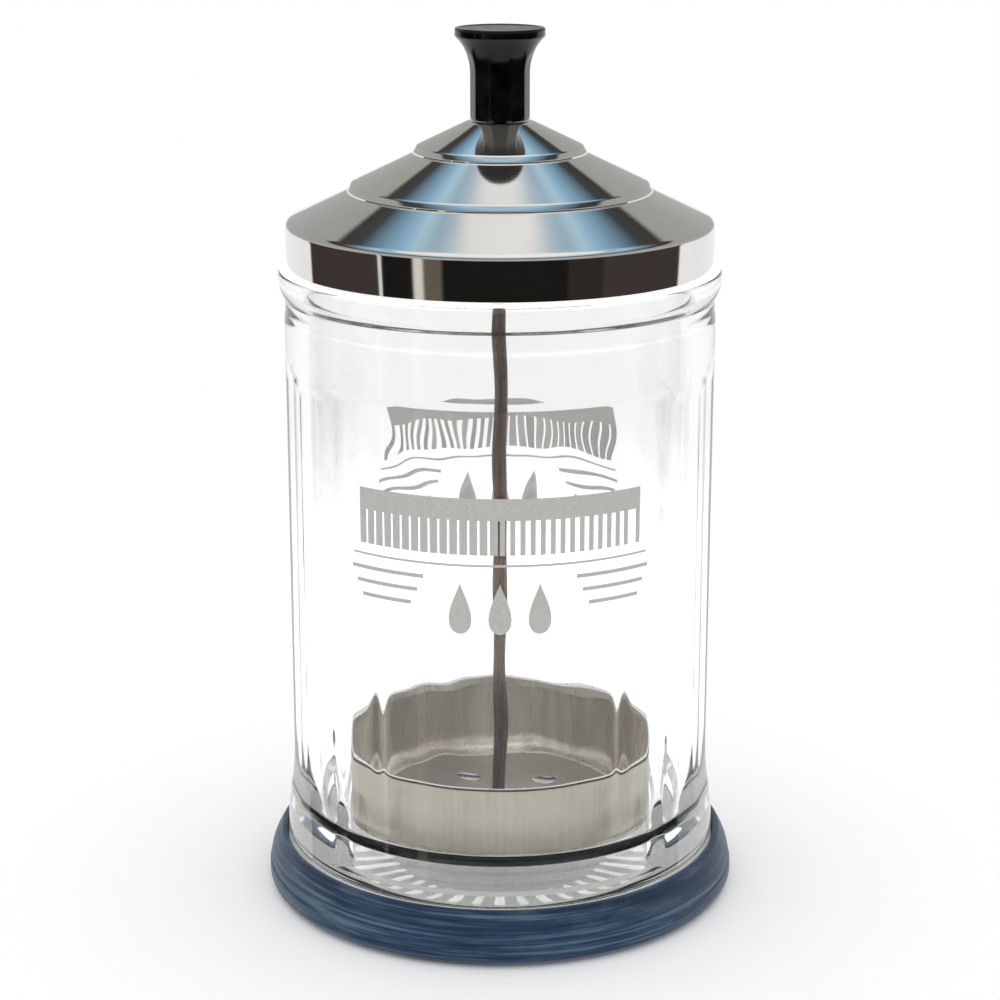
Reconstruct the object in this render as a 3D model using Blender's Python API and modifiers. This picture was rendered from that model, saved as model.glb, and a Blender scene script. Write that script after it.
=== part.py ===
"""Disinfectant jar: a pressed-glass jar in a rubber base ring, closed by a stepped steel lid.

A rod hangs from the lid and carries a drained steel tray, so lifting the knob lifts the tray out.
Units are metres and +Z is up. The origin is the middle of the underside, and the front faces -Y.
"""

from math import cos, pi, radians, sin

import bmesh
import bpy

MM = 0.001
GAP = 0.3 * MM                    # clearance between two pieces that meet
ROUND_STEPS = 48                  # sides of a large turned piece
SMALL_STEPS = 24                  # sides of a small turned piece
MERGE = 0.00005                   # distance that closes a turned piece on its axis

# Base ring: a rubber boot that the jar stands in
RING_HEIGHT = 13.0 * MM
RING_RADIUS = 57.4 * MM
RING_LIP_RADIUS = 54.4 * MM
RING_FOOT_RADIUS = 55.2 * MM
RING_BORE = 52.9 * MM
RING_CREASE = 5.8 * MM            # height of the crease round the outside
RING_FLANGE = 2.0 * MM            # thickness of the flange under the glass
RING_FLANGE_BORE = 44.0 * MM

# Glass jar
JAR_BOTTOM = RING_FLANGE + GAP
JAR_BASE_RADIUS = RING_BORE - GAP
JAR_FOOT_RADIUS = 50.0 * MM       # outer edge of the flat that bears on the flange
JAR_PUNT_RADIUS = 45.5 * MM       # inner edge of that flat
JAR_PUNT = 0.8 * MM               # rise of the underside inside the bearing flat
JAR_FLARE_TOP = 32.0 * MM
JAR_BODY_RADIUS = 50.75 * MM
JAR_GROOVE_RADIUS = 50.4 * MM
JAR_GROOVE = 145.2 * MM           # height of the groove under the bead
JAR_BEAD_RADIUS = 52.1 * MM
JAR_SHOULDER = 153.4 * MM         # flat top of the bead, which carries the lid
JAR_SHOULDER_RADIUS = 50.9 * MM
JAR_NECK_RADIUS = 48.7 * MM
JAR_RIM = 161.8 * MM
JAR_FLOOR = 7.0 * MM              # inside floor
JAR_FILLET = 8.0 * MM             # inside corner of the floor
JAR_BORE_LOW = 44.1 * MM          # inner wall radius at the floor
JAR_LEDGE_FOOT = 21.2 * MM        # a sloping ledge inside widens the bore above the thick base
JAR_LEDGE_TOP = 23.4 * MM
JAR_BORE_MIDDLE = 45.3 * MM       # inner wall radius just above the ledge
JAR_BORE_TOP = 45.4 * MM          # inner wall radius at the mouth
JAR_RIM_ROUND = 1.6 * MM

# Lid: spun sheet in three conical tiers with a straight skirt
LID_SHEET = 0.8 * MM
LID_SLOPE = 0.476                 # fall of a tier for each unit outwards
LID_STEP = 1.4 * MM               # drop between one tier and the next
LID_TOP = 187.0 * MM
LID_FLAT_RADIUS = 7.4 * MM        # flat under the knob
LID_TIER_RADII = (19.9 * MM, 35.25 * MM)
LID_BRIM_RADIUS = 49.5 * MM       # where the last tier rolls over into the skirt
LID_SKIRT_RADIUS = 50.2 * MM
LID_SKIRT_FOOT_RADIUS = 50.0 * MM
LID_SKIRT_FOOT = JAR_SHOULDER + GAP

# Rod
ROD_RADIUS = 1.65 * MM
ROD_FOOT = 12.8 * MM
ROD_TOP = 197.4 * MM
ROD_CHAMFER = 0.4 * MM
HOLE_RADIUS = ROD_RADIUS + GAP

# Knob: a ten-sided stem that flares into a round top
KNOB_FOOT = LID_TOP + GAP
KNOB_TOP = 208.2 * MM
KNOB_RIM_RADIUS = 10.45 * MM
KNOB_RIM_TOP_BEVEL = 0.3 * MM
KNOB_RIM_FOOT = 206.3 * MM
KNOB_FLARE_FOOT = 197.0 * MM
KNOB_FLARE_TOP = 205.6 * MM
KNOB_FLARE_RADIUS = 9.75 * MM
KNOB_FLARE_POWER = 2.85
KNOB_ROUND_STEM = 7.1 * MM
KNOB_FACETS = 10
KNOB_FACET_STEM = 6.95 * MM       # radius to the edges between facets
KNOB_FACET_FLARE = 4.2 * MM       # how far those edges move out along the flare
KNOB_STEPS = 40
KNOB_BORE_RADIUS = 3.5 * MM
KNOB_BORE_TOP = 198.3 * MM

# Threaded insert moulded into the knob
INSERT_RADIUS = KNOB_BORE_RADIUS - GAP
INSERT_FOOT = KNOB_FOOT + 0.2 * MM
INSERT_TOP = KNOB_BORE_TOP - GAP
INSERT_GROOVE = 0.4 * MM          # depth of the groove that keys it in the plastic
INSERT_GROOVE_HEIGHT = 2.0 * MM

# Fasteners on the rod
NUT_FLATS = 6.0 * MM              # across flats
NUT_HEIGHT = 2.9 * MM
THIN_NUT_HEIGHT = 2.1 * MM
NUT_CHAMFER = 0.35 * MM
WASHER_RADIUS = 4.2 * MM
WASHER_HEIGHT = 0.7 * MM
THIN_WASHER_HEIGHT = 0.5 * MM

# Tray: a drawn cup with a hemmed rim and drain holes in its floor
TRAY_SHEET = 0.7 * MM
TRAY_RADIUS = 39.1 * MM
TRAY_HEM_RADIUS = 39.4 * MM
TRAY_HEM_HEIGHT = 2.1 * MM
TRAY_HEM_THICKNESS = 1.5 * MM
TRAY_FLOOR = 17.6 * MM            # underside of its floor
TRAY_CORNER = 5.5 * MM            # outer corner between floor and wall
TRAY_RIM = 37.4 * MM
DRAIN_HOLES = 6
DRAIN_RADIUS = 3.5 * MM
DRAIN_CIRCLE = 19.6 * MM
DRAIN_FIRST_ANGLE = 55.0          # degrees from +X

# Clearances along the rod, from the lid and the tray outwards
LID_WASHER_TOP = LID_TOP - LID_SHEET - GAP
LID_NUT_TOP = LID_WASHER_TOP - WASHER_HEIGHT - GAP
TRAY_TOP_NUT_FOOT = TRAY_FLOOR + TRAY_SHEET + GAP
TRAY_WASHER_TOP = TRAY_FLOOR - GAP
TRAY_BOTTOM_NUT_TOP = TRAY_WASHER_TOP - THIN_WASHER_HEIGHT - GAP


def clear_scene():
    for obj in list(bpy.data.objects):
        bpy.data.objects.remove(obj, do_unlink=True)


def new_collection(name):
    collection = bpy.data.collections.new(name)
    bpy.context.scene.collection.children.link(collection)
    return collection


def new_material(name, colour, roughness, metallic=0.0, transmission=0.0):
    material = bpy.data.materials.new(name)
    material.use_nodes = True
    shader = material.node_tree.nodes["Principled BSDF"]
    shader.inputs["Base Color"].default_value = (*colour, 1.0)
    shader.inputs["Roughness"].default_value = roughness
    shader.inputs["Metallic"].default_value = metallic
    shader.inputs["Transmission Weight"].default_value = transmission
    return material


def arc(centre, radius, start, end, count):
    """Points (radius, height) on an arc, by angles in degrees from straight out."""
    points = []
    for index in range(count):
        angle = radians(start + (end - start) * index / (count - 1))
        points.append((centre[0] + radius * cos(angle), centre[1] + radius * sin(angle)))
    return points


def turned(name, collection, profile, steps, closed, height=0.0):
    """A piece turned about Z. Its profile runs down the outer side, from the top."""
    mesh = bpy.data.meshes.new(name)
    vertices = [(radius, 0.0, z - height) for radius, z in profile]
    edges = [(index, index + 1) for index in range(len(vertices) - 1)]
    if closed:
        edges.append((len(vertices) - 1, 0))
    mesh.from_pydata(vertices, edges, [])
    piece = bpy.data.objects.new(name, mesh)
    piece.location = (0.0, 0.0, height)
    collection.objects.link(piece)
    screw = piece.modifiers.new("turn", "SCREW")
    screw.axis = "Z"
    screw.angle = 2.0 * pi
    screw.steps = steps
    screw.render_steps = steps
    screw.use_merge_vertices = True
    screw.merge_threshold = MERGE
    screw.use_smooth_shade = True
    return piece


def upright(name, collection, radius, bottom, top, sides, spin=0.0):
    """A capped prism or cylinder standing on Z from bottom to top."""
    mesh = bpy.data.meshes.new(name)
    shape = bmesh.new()
    bmesh.ops.create_cone(
        shape, cap_ends=True, segments=sides, radius1=radius, radius2=radius, depth=top - bottom
    )
    shape.to_mesh(mesh)
    shape.free()
    piece = bpy.data.objects.new(name, mesh)
    piece.location = (0.0, 0.0, (bottom + top) / 2.0)
    piece.rotation_euler = (0.0, 0.0, spin)
    collection.objects.link(piece)
    return piece


def combine(piece, other, operation):
    other.hide_render = True
    other.display_type = "WIRE"
    boolean = piece.modifiers.new(operation.lower(), "BOOLEAN")
    boolean.operation = operation
    boolean.solver = "EXACT"
    boolean.object = other


def finish(piece, material):
    piece.data.materials.append(material)
    return piece


def build_base_ring(parts):
    outer = [
        (RING_BORE + 0.4 * MM, RING_HEIGHT),
        (RING_LIP_RADIUS - 0.3 * MM, RING_HEIGHT),
        (RING_LIP_RADIUS, RING_HEIGHT - 0.3 * MM),
        (56.4 * MM, 9.4 * MM),
        (57.0 * MM, 6.9 * MM),
        (RING_RADIUS - 0.45 * MM, RING_CREASE),
        (RING_RADIUS, RING_CREASE - 0.9 * MM),
        (RING_RADIUS, 2.0 * MM),
        (RING_RADIUS - 0.6 * MM, 0.7 * MM),
        (RING_FOOT_RADIUS, 0.0),
    ]
    inner = [
        (RING_FLANGE_BORE, 0.0),
        (RING_FLANGE_BORE, RING_FLANGE),
        (RING_BORE, RING_FLANGE),
        (RING_BORE, RING_HEIGHT - 0.4 * MM),
    ]
    ring = turned("base_ring", parts, outer + inner, ROUND_STEPS, closed=True)
    return finish(ring, new_material("blue_rubber", (0.03, 0.07, 0.17), 0.6))


def jar_inside():
    """Inner wall, from the middle of the floor out and up to the mouth."""
    fillet_centre = (JAR_BORE_LOW - JAR_FILLET, JAR_FLOOR + JAR_FILLET)
    points = [(0.0, JAR_FLOOR)]
    points += arc(fillet_centre, JAR_FILLET, -90.0, 0.0, 5)
    points.append((JAR_BORE_LOW, JAR_LEDGE_FOOT))
    points.append((JAR_BORE_MIDDLE, JAR_LEDGE_TOP))
    points.append((JAR_BORE_TOP, JAR_SHOULDER))
    return points


def jar_outside():
    """Rim, neck, bead, body and flared base, from the mouth down to the middle of the underside."""
    neck_middle = (JAR_NECK_RADIUS + JAR_BORE_TOP) / 2.0
    round_centre = (neck_middle, JAR_RIM - JAR_RIM_ROUND)
    points = arc(round_centre, JAR_RIM_ROUND, 180.0, 0.0, 7)
    points += [
        (JAR_NECK_RADIUS, JAR_SHOULDER),
        (JAR_SHOULDER_RADIUS, JAR_SHOULDER),
        (JAR_BEAD_RADIUS - 0.3 * MM, JAR_SHOULDER - 0.9 * MM),
        (JAR_BEAD_RADIUS, JAR_SHOULDER - 2.2 * MM),
        (JAR_BEAD_RADIUS - 0.1 * MM, JAR_GROOVE + 3.4 * MM),
        (JAR_BODY_RADIUS, JAR_GROOVE + 0.9 * MM),
        (JAR_GROOVE_RADIUS, JAR_GROOVE),
        (JAR_BODY_RADIUS, JAR_GROOVE - 1.2 * MM),
        (JAR_BODY_RADIUS, JAR_FLARE_TOP),
        (51.1 * MM, 29.4 * MM),
        (52.1 * MM, 21.9 * MM),
        (JAR_BASE_RADIUS, 14.4 * MM),
        (JAR_BASE_RADIUS, 6.0 * MM),
        (JAR_BASE_RADIUS - 0.8 * MM, 3.6 * MM),
        (JAR_FOOT_RADIUS, JAR_BOTTOM),
        (JAR_PUNT_RADIUS, JAR_BOTTOM),
        (JAR_PUNT_RADIUS - JAR_PUNT, JAR_BOTTOM + JAR_PUNT),
        (0.0, JAR_BOTTOM + JAR_PUNT),
    ]
    return points


def build_glass_jar(parts):
    jar = turned("glass_jar", parts, jar_inside() + jar_outside(), ROUND_STEPS, closed=False)
    return finish(jar, new_material("clear_glass", (0.95, 0.97, 0.96), 0.02, transmission=1.0))


def lid_corners():
    """Corners of the lid's upper face, from the flat under the knob to the foot of the skirt."""
    corners = [(LID_FLAT_RADIUS, LID_TOP)]
    for radius in LID_TIER_RADII:
        start_radius, start_height = corners[-1]
        foot = start_height - LID_SLOPE * (radius - start_radius)
        corners.append((radius, foot))
        corners.append((radius, foot - LID_STEP))
    start_radius, start_height = corners[-1]
    brim = start_height - LID_SLOPE * (LID_BRIM_RADIUS - start_radius)
    corners.append((LID_BRIM_RADIUS, brim))
    corners.append((LID_SKIRT_RADIUS, brim - 0.8 * MM))
    return corners


def build_lid_shell(parts):
    corners = lid_corners()
    drop = LID_SHEET * ((1.0 + LID_SLOPE**2) ** 0.5 - LID_SLOPE)
    inside = [(radius - LID_SHEET, z - drop) for radius, z in corners[1:]]
    outer = [(HOLE_RADIUS, LID_TOP)] + corners + [(LID_SKIRT_FOOT_RADIUS, LID_SKIRT_FOOT)]
    inner = [(LID_SKIRT_FOOT_RADIUS - LID_SHEET, LID_SKIRT_FOOT)] + inside[::-1]
    inner.append((LID_FLAT_RADIUS - LID_SHEET * LID_SLOPE / 2.0, LID_TOP - LID_SHEET))
    inner.append((HOLE_RADIUS, LID_TOP - LID_SHEET))
    lid = turned("lid_shell", parts, outer + inner, ROUND_STEPS, closed=True)
    return finish(lid, new_material("polished_steel", (0.75, 0.75, 0.74), 0.08, metallic=1.0))


def flare(height):
    """Share of the knob's flare that is reached at this height, from 0 at its foot to 1."""
    along = (height - KNOB_FLARE_FOOT) / (KNOB_FLARE_TOP - KNOB_FLARE_FOOT)
    return max(along, 0.0) ** KNOB_FLARE_POWER


def flare_heights(count):
    drop = (KNOB_FLARE_TOP - KNOB_FLARE_FOOT) / count
    return [KNOB_FLARE_TOP - drop * index for index in range(count + 1)]


def build_knob_body(parts, cutters):
    outline = [
        (0.0, KNOB_TOP),
        (KNOB_RIM_RADIUS - KNOB_RIM_TOP_BEVEL, KNOB_TOP),
        (KNOB_RIM_RADIUS, KNOB_TOP - KNOB_RIM_TOP_BEVEL),
        (KNOB_RIM_RADIUS, KNOB_RIM_FOOT),
    ]
    spread = KNOB_FLARE_RADIUS - KNOB_ROUND_STEM
    outline += [(KNOB_ROUND_STEM + spread * flare(z), z) for z in flare_heights(6)]
    outline += [(KNOB_ROUND_STEM, KNOB_FOOT), (0.0, KNOB_FOOT)]
    knob = turned("knob_body", parts, outline, KNOB_STEPS, closed=False, height=KNOB_FOOT)

    above = KNOB_TOP + 1.0 * MM
    below = KNOB_FOOT - 1.0 * MM
    facets = [(0.0, above), (KNOB_FACET_STEM + KNOB_FACET_FLARE, above)]
    facets += [(KNOB_FACET_STEM + KNOB_FACET_FLARE * flare(z), z) for z in flare_heights(6)]
    facets += [(KNOB_FACET_STEM, below), (0.0, below)]
    facet_shape = turned("knob_facets", cutters, facets, KNOB_FACETS, closed=False)
    bore = upright("knob_bore", cutters, KNOB_BORE_RADIUS, below, KNOB_BORE_TOP, SMALL_STEPS)
    combine(knob, facet_shape, "INTERSECT")
    combine(knob, bore, "DIFFERENCE")
    return finish(knob, new_material("black_plastic", (0.012, 0.012, 0.012), 0.22))


def build_knob_insert(parts):
    middle = (INSERT_FOOT + INSERT_TOP) / 2.0
    groove_top = middle + INSERT_GROOVE_HEIGHT / 2.0
    groove_foot = middle - INSERT_GROOVE_HEIGHT / 2.0
    outline = [
        (HOLE_RADIUS, INSERT_TOP),
        (INSERT_RADIUS, INSERT_TOP),
        (INSERT_RADIUS, groove_top),
        (INSERT_RADIUS - INSERT_GROOVE, groove_top - INSERT_GROOVE),
        (INSERT_RADIUS - INSERT_GROOVE, groove_foot + INSERT_GROOVE),
        (INSERT_RADIUS, groove_foot),
        (INSERT_RADIUS, INSERT_FOOT),
        (HOLE_RADIUS, INSERT_FOOT),
    ]
    insert = turned("knob_insert", parts, outline, SMALL_STEPS, closed=True, height=KNOB_FOOT)
    return finish(insert, new_material("brass", (0.72, 0.52, 0.22), 0.3, metallic=1.0))


def build_lift_rod(parts):
    outline = [
        (0.0, ROD_TOP),
        (ROD_RADIUS - ROD_CHAMFER, ROD_TOP),
        (ROD_RADIUS, ROD_TOP - ROD_CHAMFER),
        (ROD_RADIUS, ROD_FOOT + ROD_CHAMFER),
        (ROD_RADIUS - ROD_CHAMFER, ROD_FOOT),
        (0.0, ROD_FOOT),
    ]
    rod = turned("lift_rod", parts, outline, SMALL_STEPS, closed=False)
    return finish(rod, new_material("drawn_steel", (0.36, 0.31, 0.27), 0.35, metallic=1.0))


def build_washer(name, parts, top, height, steel):
    outline = [
        (HOLE_RADIUS, top),
        (WASHER_RADIUS, top),
        (WASHER_RADIUS, top - height),
        (HOLE_RADIUS, top - height),
    ]
    return finish(turned(name, parts, outline, SMALL_STEPS, closed=True), steel)


def build_nut(name, parts, cutters, foot, height, steel):
    """A hexagon nut whose corners are chamfered at both faces."""
    corner = NUT_FLATS / 2.0 / cos(pi / 6.0)
    nut = upright(name, parts, corner, foot, foot + height, 6, spin=pi / 6.0)
    chamfer = [
        (0.0, foot + height + NUT_CHAMFER),
        (corner - 2.0 * NUT_CHAMFER - NUT_CHAMFER, foot + height + NUT_CHAMFER),
        (corner + NUT_CHAMFER, foot + height - NUT_CHAMFER),
        (corner + NUT_CHAMFER, foot + NUT_CHAMFER),
        (corner - 2.0 * NUT_CHAMFER - NUT_CHAMFER, foot - NUT_CHAMFER),
        (0.0, foot - NUT_CHAMFER),
    ]
    lens = turned(name + "_chamfer", cutters, chamfer, SMALL_STEPS, closed=False)
    bore = upright(name + "_bore", cutters, HOLE_RADIUS, foot - MM, foot + height + MM, 16)
    combine(nut, lens, "INTERSECT")
    combine(nut, bore, "DIFFERENCE")
    return finish(nut, steel)


def tray_outline():
    """Cross-section of the drawn cup: hem, wall, corner and floor outside, then back inside."""
    inner_corner = TRAY_CORNER - TRAY_SHEET
    centre = (TRAY_RADIUS - TRAY_CORNER, TRAY_FLOOR + TRAY_CORNER)
    hem_foot = TRAY_RIM - TRAY_HEM_HEIGHT
    hem_inside = TRAY_HEM_RADIUS - TRAY_HEM_THICKNESS
    hem_round = TRAY_HEM_THICKNESS / 4.0
    outline = [
        (hem_inside + hem_round, TRAY_RIM),
        (TRAY_HEM_RADIUS - hem_round, TRAY_RIM),
        (TRAY_HEM_RADIUS, TRAY_RIM - hem_round),
        (TRAY_HEM_RADIUS, hem_foot),
        (TRAY_RADIUS, hem_foot - hem_round),
    ]
    outline += arc(centre, TRAY_CORNER, 0.0, -90.0, 5)
    outline += [(HOLE_RADIUS, TRAY_FLOOR), (HOLE_RADIUS, TRAY_FLOOR + TRAY_SHEET)]
    outline += arc(centre, inner_corner, -90.0, 0.0, 5)
    outline += [(TRAY_RADIUS - TRAY_SHEET, hem_foot), (hem_inside, TRAY_RIM - hem_round)]
    return outline


def drain_cutter(cutters):
    """Round pegs on a circle, in one mesh, that cut the drain holes."""
    mesh = bpy.data.meshes.new("drain_pegs")
    shape = bmesh.new()
    for index in range(DRAIN_HOLES):
        angle = radians(DRAIN_FIRST_ANGLE) + 2.0 * pi * index / DRAIN_HOLES
        peg = bmesh.ops.create_cone(
            shape,
            cap_ends=True,
            segments=16,
            radius1=DRAIN_RADIUS,
            radius2=DRAIN_RADIUS,
            depth=4.0 * TRAY_SHEET,
        )
        offset = (DRAIN_CIRCLE * cos(angle), DRAIN_CIRCLE * sin(angle), 0.0)
        bmesh.ops.translate(shape, verts=peg["verts"], vec=offset)
    shape.to_mesh(mesh)
    shape.free()
    pegs = bpy.data.objects.new("drain_pegs", mesh)
    pegs.location = (0.0, 0.0, TRAY_FLOOR + TRAY_SHEET / 2.0)
    cutters.objects.link(pegs)
    return pegs


def build_tray(parts, cutters):
    tray = turned("tray", parts, tray_outline(), ROUND_STEPS, closed=True)
    combine(tray, drain_cutter(cutters), "DIFFERENCE")
    return finish(tray, new_material("brushed_steel", (0.55, 0.53, 0.5), 0.35, metallic=1.0))


def main():
    clear_scene()
    parts = new_collection("disinfectant_jar")
    cutters = new_collection("cutters")
    steel = new_material("fastener_steel", (0.6, 0.6, 0.6), 0.3, metallic=1.0)

    build_base_ring(parts)
    build_glass_jar(parts)

    lid = build_lid_shell(parts)
    hanging = [
        build_lift_rod(parts),
        build_washer("lid_washer", parts, LID_WASHER_TOP, WASHER_HEIGHT, steel),
        build_nut("lid_nut", parts, cutters, LID_NUT_TOP - NUT_HEIGHT, NUT_HEIGHT, steel),
        build_tray(parts, cutters),
        build_nut("tray_top_nut", parts, cutters, TRAY_TOP_NUT_FOOT, THIN_NUT_HEIGHT, steel),
        build_washer("tray_washer", parts, TRAY_WASHER_TOP, THIN_WASHER_HEIGHT, steel),
        build_nut(
            "tray_bottom_nut",
            parts,
            cutters,
            TRAY_BOTTOM_NUT_TOP - THIN_NUT_HEIGHT,
            THIN_NUT_HEIGHT,
            steel,
        ),
        build_knob_body(parts, cutters),
        build_knob_insert(parts),
    ]
    for piece in hanging:
        piece.parent = lid


main()
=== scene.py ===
"""Looks of the disinfectant jar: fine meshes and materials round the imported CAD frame.

Units are metres and +Z is up. The front of the jar faces -Y. Sizes come from the frame's nodes.
"""

from math import cos, pi, radians, sin, sqrt, tan

import bmesh
import bpy
import numpy as np
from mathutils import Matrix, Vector


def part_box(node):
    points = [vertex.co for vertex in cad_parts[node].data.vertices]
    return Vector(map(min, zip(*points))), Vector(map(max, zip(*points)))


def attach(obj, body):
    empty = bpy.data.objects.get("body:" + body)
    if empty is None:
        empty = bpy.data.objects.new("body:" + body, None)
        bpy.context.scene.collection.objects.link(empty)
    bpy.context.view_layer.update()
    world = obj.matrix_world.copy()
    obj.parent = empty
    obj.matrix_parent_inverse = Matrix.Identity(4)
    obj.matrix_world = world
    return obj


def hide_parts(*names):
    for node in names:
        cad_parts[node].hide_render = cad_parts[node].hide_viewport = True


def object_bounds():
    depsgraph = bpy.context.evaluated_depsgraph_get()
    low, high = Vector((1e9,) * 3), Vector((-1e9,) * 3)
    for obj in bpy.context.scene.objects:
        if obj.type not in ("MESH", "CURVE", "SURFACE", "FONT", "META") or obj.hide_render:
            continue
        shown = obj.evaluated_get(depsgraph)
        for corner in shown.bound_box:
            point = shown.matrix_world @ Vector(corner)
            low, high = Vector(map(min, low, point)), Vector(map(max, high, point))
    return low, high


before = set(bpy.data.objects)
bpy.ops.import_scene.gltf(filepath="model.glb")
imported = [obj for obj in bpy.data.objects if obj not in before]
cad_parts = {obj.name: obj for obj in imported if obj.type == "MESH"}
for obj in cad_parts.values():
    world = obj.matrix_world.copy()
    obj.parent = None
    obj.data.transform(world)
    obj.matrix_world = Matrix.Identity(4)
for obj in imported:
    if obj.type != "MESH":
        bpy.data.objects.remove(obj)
cad_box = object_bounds()

MM = 0.001
FINE = 288                          # steps round a large turned piece
SMALL = 96                          # steps round a small one

# The glass mesh
GLASS_STEPS = 540
GLASS_ROW = 0.7 * MM                # spacing of the rows
FINE_ROWS = (11.6 * MM, 31.4 * MM)  # the rows of the flared foot are three times closer here

# Panels and flutes pressed into the outer wall
BODY_RADIUS = 50.75 * MM            # of the wall above its flared foot
RELIEF_FOOT = 16.0 * MM             # the panels end here in a sharp step
RELIEF_TOP = 140.0 * MM
PANEL_HALF_ANGLE = 49.0             # degrees either side of the front and of the back
PANEL_SIDE = 6.0                    # degrees over which a panel ends at its sides
PANEL_DEPTH = 0.6 * MM
PANEL_TOP = 130.6 * MM
PANEL_EDGE = 0.7 * MM               # height over which a panel ends at its top
FLUTES = 5                          # flutes between the two panels, on each side
FLUTE_DEPTH = 0.2 * MM
FLUTE_FLARE = 0.2                   # share of the foot's flare that a flute takes away
FLUTE_TOP = 129.6 * MM
FLUTE_EDGE = 1.6 * MM               # height over which a flute ends at its top
FLUTE_ROUND = 3.0 * MM              # the ends of a flute are rounded by this much
FLUTE_FOOT = 22.4 * MM
FLUTE_FADE = 9.0 * MM               # height over which a flute runs out at its foot

# Relief moulded into the underside
MARK_HEIGHT = 0.45 * MM
MARK_RING = (25.5 * MM, 37.5 * MM)  # inner and outer radius of the ring of bars
MARK_EDGE = 0.6 * MM
MARK_COUNT = 40
MARK_CIRCLE = 38.6 * MM
STIPPLE_RADIUS = 24.0 * MM
STIPPLE_PITCH = 2.4 * MM
GROUND_RADIUS = 43.0 * MM           # the underside is ground dull inside this radius

# Unevenness of the inner wall
RIPPLE = 0.11 * MM
RIPPLE_FOOT = (24.0 * MM, 32.0 * MM)        # heights between which it sets in
RIPPLE_BELOW_RIM = (14.0 * MM, 4.0 * MM)    # and dies out
INNER_RIB = 0.26 * MM
INNER_RIB_ANGLE = 36.0              # degrees: a low rib inside, either side of the front
INNER_RIB_TOP = (78.0 * MM, 92.0 * MM)      # heights between which the ribs die out

# Printed pattern on both panels
PRINT_GAP = 0.03 * MM
PRINT_THICKNESS = 0.06 * MM
COMB_WIDTH = 68.0 * MM
COMB_TOP = 110.0 * MM
COMB_BACK = 5.0 * MM                # height of the comb's spine
COMB_TEETH = 30
TOOTH_LENGTH = 8.0 * MM
RULE_HEIGHT = 94.3 * MM
DROP_HEIGHT = 84.5 * MM
DROP_PITCH = 9.0 * MM
DROP_SIZE = 6.0 * MM
BAR_PLACE = 27.0 * MM               # middle of the short bars, either side of the drops

THREAD_PITCH = 0.6 * MM
THREAD_DEPTH = 0.3 * MM
ROD_HOLE = 1.95 * MM                # radius of every hole that the rod goes through

DRAIN_HOLES = 6
DRAIN_RADIUS = 3.5 * MM
DRAIN_CIRCLE = 19.6 * MM
DRAIN_FIRST_ANGLE = 55.0            # degrees from +X

# Camera: the photographer's place, on the jar's centre plane
CAMERA_DISTANCE = 0.576
CAMERA_HEIGHT = 0.257
CAMERA_AIM = 0.0958
CAMERA_LENS = 89.3
CAMERA_SENSOR = 36.0


# ---------------------------------------------------------------- mesh tools

def rounded(corners, closed=False, steps=6):
    """Points through (radius, z, rounding) corners, with each corner rounded off."""
    points = []
    count = len(corners)
    for index, (radius, z, rounding) in enumerate(corners):
        here = Vector((radius, z))
        at_end = index in (0, count - 1) and not closed
        if rounding == 0.0 or at_end:
            points.append(here)
            continue
        before = Vector(corners[index - 1][:2]) - here
        after = Vector(corners[(index + 1) % count][:2]) - here
        start = here + before.normalized() * min(rounding, before.length * 0.49)
        end = here + after.normalized() * min(rounding, after.length * 0.49)
        for step in range(steps + 1):
            t = step / steps
            points.append(start * (1 - t) ** 2 + here * (2 * t * (1 - t)) + end * t**2)
    return [(point.x, point.y) for point in points]


def resampled(points, spacing):
    """The same line, with extra points so that none are further apart than spacing."""
    line = [points[0]]
    for start, end in zip(points, points[1:]):
        length = sqrt((end[0] - start[0]) ** 2 + (end[1] - start[1]) ** 2)
        pieces = max(1, int(length / spacing + 0.999))
        for piece in range(1, pieces + 1):
            t = piece / pieces
            line.append((start[0] + (end[0] - start[0]) * t, start[1] + (end[1] - start[1]) * t))
    return line


def turn(name, points, steps, closed=False, shape=None):
    """A mesh turned about Z. shape may move its points: (radius, z, angle) to (radius, z)."""
    profile = np.array(points, dtype=float)
    angle = np.arange(steps) * 2.0 * pi / steps
    radius = np.repeat(profile[:, 0:1], steps, axis=1)
    height = np.repeat(profile[:, 1:2], steps, axis=1)
    around = np.repeat(angle[None, :], len(profile), axis=0)
    if shape is not None:
        radius, height = shape(radius, height, around)
    places = np.stack([radius * np.cos(around), radius * np.sin(around), height], axis=-1)
    rows = len(profile)
    faces = []
    for row in range(rows if closed else rows - 1):
        after = (row + 1) % rows
        for step in range(steps):
            beside = (step + 1) % steps
            faces.append((row * steps + step, row * steps + beside,
                          after * steps + beside, after * steps + step))
    mesh = bpy.data.meshes.new(name)
    mesh.from_pydata(places.reshape(-1, 3).tolist(), [], faces)
    return tidied(name, mesh)


def tidied(name, mesh, sharp=32.0):
    """An object of the mesh, closed on its axis, facing outwards and smooth between creases."""
    work = bmesh.new()
    work.from_mesh(mesh)
    bmesh.ops.remove_doubles(work, verts=work.verts, dist=0.000002)
    bmesh.ops.recalc_face_normals(work, faces=work.faces)
    work.to_mesh(mesh)
    work.free()
    mesh.shade_smooth()
    mesh.set_sharp_from_angle(angle=radians(sharp))
    piece = bpy.data.objects.new(name, mesh)
    bpy.context.scene.collection.objects.link(piece)
    return piece


def place(piece, body, node, material):
    """The piece rides on a body with its own material, and stands for the CAD node, if any."""
    piece.data.materials.clear()
    piece.data.materials.append(material)
    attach(piece, body)
    if node:
        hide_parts(node)
    return piece


def smooth(value, start, end):
    """0 before start, 1 after end, eased between them."""
    share = np.clip((value - start) / (end - start), 0.0, 1.0)
    return share * share * (3.0 - 2.0 * share)


# ---------------------------------------------------------------- materials

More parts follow.
